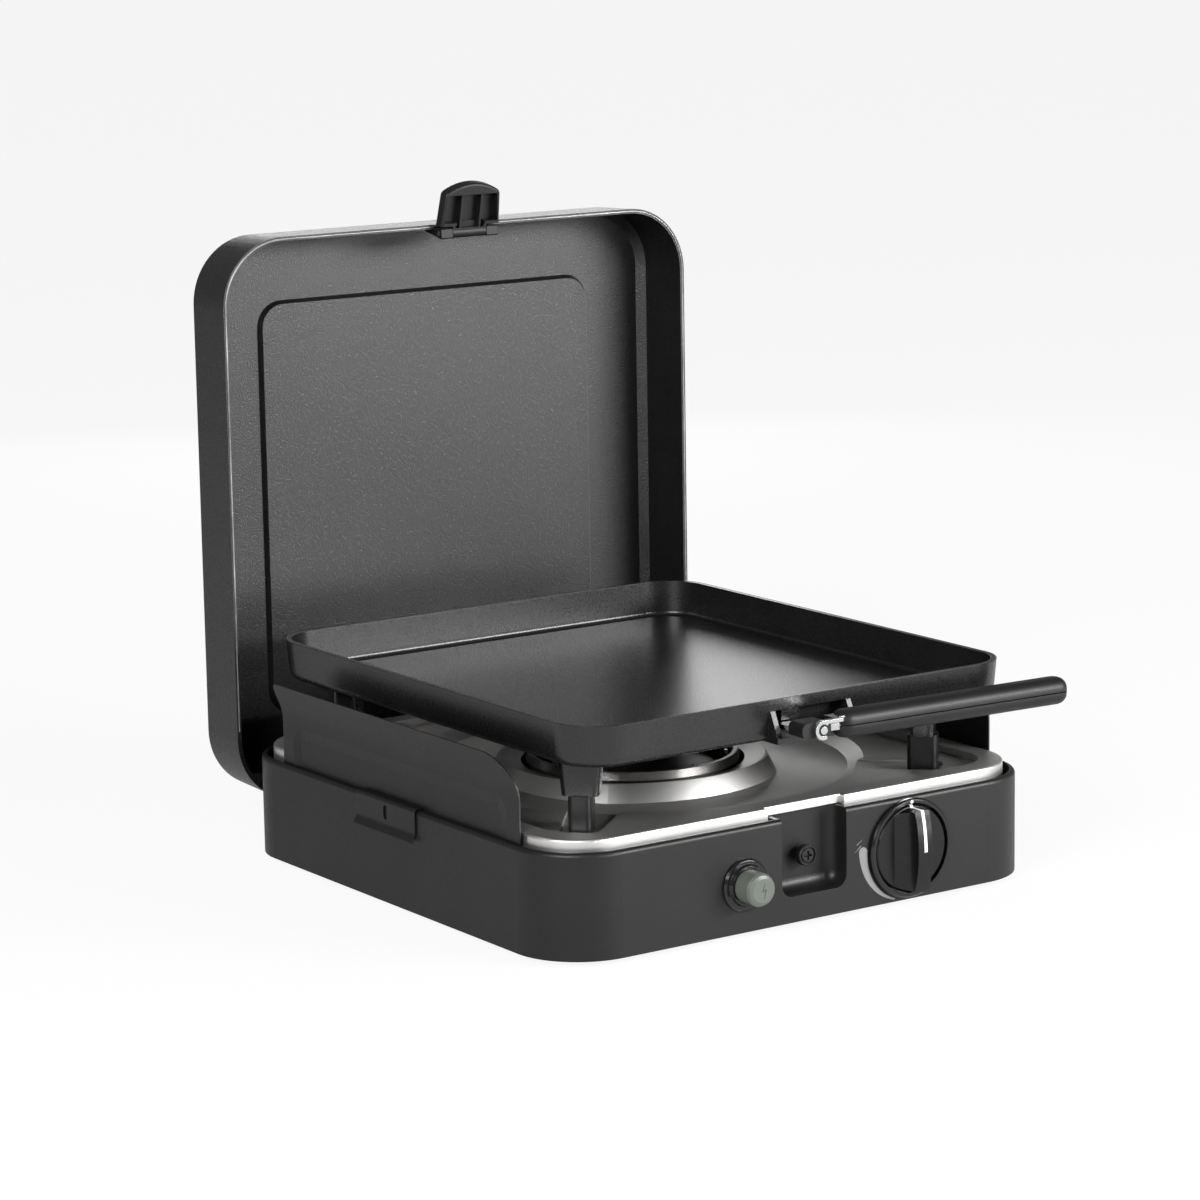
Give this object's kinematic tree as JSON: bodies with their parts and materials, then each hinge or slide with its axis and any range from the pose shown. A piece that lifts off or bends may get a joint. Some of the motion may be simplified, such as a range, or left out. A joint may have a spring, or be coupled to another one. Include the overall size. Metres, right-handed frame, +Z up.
{
  "type": "single burner gas stove",
  "caption": "Portable gas stove with a stainless hob, a drop-in griddle with a detachable folding handle, side windshields and an upright hinged lid with a snap latch.",
  "frame": {"origin": "middle of the four feet, on the plane that they stand on", "axes": "+Z up, +X to the user's right, the knob and the igniter button face -Y"},
  "size_m": [0.3595, 0.4033, 0.3827],
  "materials": {
    "black_shell": "satin black coating",
    "rubber": "matt rubber",
    "zinc_screw": "zinc plated steel",
    "zinc_sheet": "zinc plated sheet",
    "stainless": "satin stainless sheet",
    "bright_steel": "bright steel",
    "burner_metal": "cast alloy",
    "burner_dark": "dark heat resistant enamel",
    "brass": "turned brass",
    "valve_alloy": "die cast alloy",
    "gloss_black": "gloss black",
    "matte_black": "matt black",
    "button_grey": "grey green, satin",
    "lead_sleeve": "red silicone sleeve",
    "copper_lead": "copper",
    "ceramic_steel": "white ceramic with a steel wire",
    "pipe_alloy": "drawn tube",
    "nonstick": "fine textured nonstick coating",
    "chrome": "polished"
  },
  "bodies": {
    "base": {"base_shell": "black_shell", "bottom_plate": "black_shell", "rubber_feet": "rubber", "bottom_screws": "zinc_screw", "hob_plate": "stainless", "hob_screws": "zinc_screw", "burner_crown": "stainless", "burner_ring": "bright_steel", "burner_body": "burner_metal", "burner_cap": "burner_dark", "burner_tube": "burner_metal", "gas_jet": "brass", "gas_valve": "valve_alloy", "valve_bracket": "zinc_sheet", "knob_bezel": "gloss_black", "button_bezel": "gloss_black", "piezo_igniter": "matte_black", "igniter_lead": "lead_sleeve", "electrode": "ceramic_steel", "thermocouple": "bright_steel", "thermocouple_lead": "copper_lead", "gas_pipe": "pipe_alloy", "gas_inlet": "brass", "inlet_nut": "brass", "rest_posts": "black_shell", "post_screws": "zinc_screw", "hinge_brackets": "zinc_sheet", "hinge_pins": "zinc_screw", "catch_stud": "matte_black"},
    "valve_turn": {"valve_rotor": "brass"},
    "knob": {"knob": "gloss_black", "valve_spindle": "zinc_screw"},
    "button": {"ignition_button": "button_grey"},
    "windshield_left": {"windshield_left": "black_shell", "clip_left": "black_shell", "clip_rivets_left": "zinc_screw"},
    "windshield_right": {"windshield_right": "black_shell", "clip_right": "black_shell", "clip_rivets_right": "zinc_screw"},
    "griddle": {"griddle": "nonstick"},
    "handle": {"handle_head": "matte_black", "handle_pin": "chrome", "handle_bar": "bright_steel", "handle_tongue": "bright_steel", "lower_grip": "matte_black"},
    "lever": {"lock_lever": "chrome", "upper_grip": "matte_black"},
    "lid": {"lid": "black_shell", "hinge_arm_left": "black_shell", "hinge_arm_right": "black_shell", "arm_screws": "zinc_screw", "latch_bracket": "black_shell", "latch_pin": "zinc_screw", "latch_rivets": "zinc_screw"},
    "latch": {"latch": "matte_black"}
  },
  "joints": [
    {"name": "lid_hinge", "type": "hinge", "parent": "base", "child": "lid", "pos_m": [0, 0.148, 0.043], "axis": [-1, 0, 0], "range_deg": [-33, 0]},
    {"name": "latch_hinge", "type": "hinge", "parent": "lid", "child": "latch", "pos_m": [0.0015, 0.166, 0.3524], "axis": [-1, 0, 0], "range_deg": [-78, 8]},
    {"name": "knob_turn", "type": "hinge", "parent": "base", "child": "valve_turn", "pos_m": [0.067, -0.145, 0.0324], "axis": [0, -1, 0], "range_deg": [0, 200]},
    {"name": "knob_push", "type": "slide", "parent": "valve_turn", "child": "knob", "axis": [0, 1, 0], "range_m": [0, 0.004], "stiffness_N_per_m": 400, "springref_m": -0.002},
    {"name": "igniter_push", "type": "slide", "parent": "base", "child": "button", "axis": [0, 1, 0], "range_m": [0, 0.005], "stiffness_N_per_m": 500, "springref_m": -0.002},
    {"name": "windshield_left_lift", "type": "slide", "parent": "base", "child": "windshield_left", "axis": [0, 0, 1], "range_m": [0, 0.06]},
    {"name": "windshield_right_lift", "type": "slide", "parent": "base", "child": "windshield_right", "axis": [0, 0, 1], "range_m": [0, 0.06]},
    {"name": "griddle_lift", "type": "slide", "parent": "base", "child": "griddle", "axis": [0, 0, 1], "range_m": [0, 0.05]},
    {"name": "handle_release", "type": "slide", "parent": "griddle", "child": "handle", "axis": [0, -1, 0], "range_m": [0, 0.045]},
    {"name": "lever_squeeze", "type": "hinge", "parent": "handle", "child": "lever", "pos_m": [-0.0085, -0.1808, 0.1127], "axis": [0, -1, 0], "range_deg": [0, 18]}
  ]
}
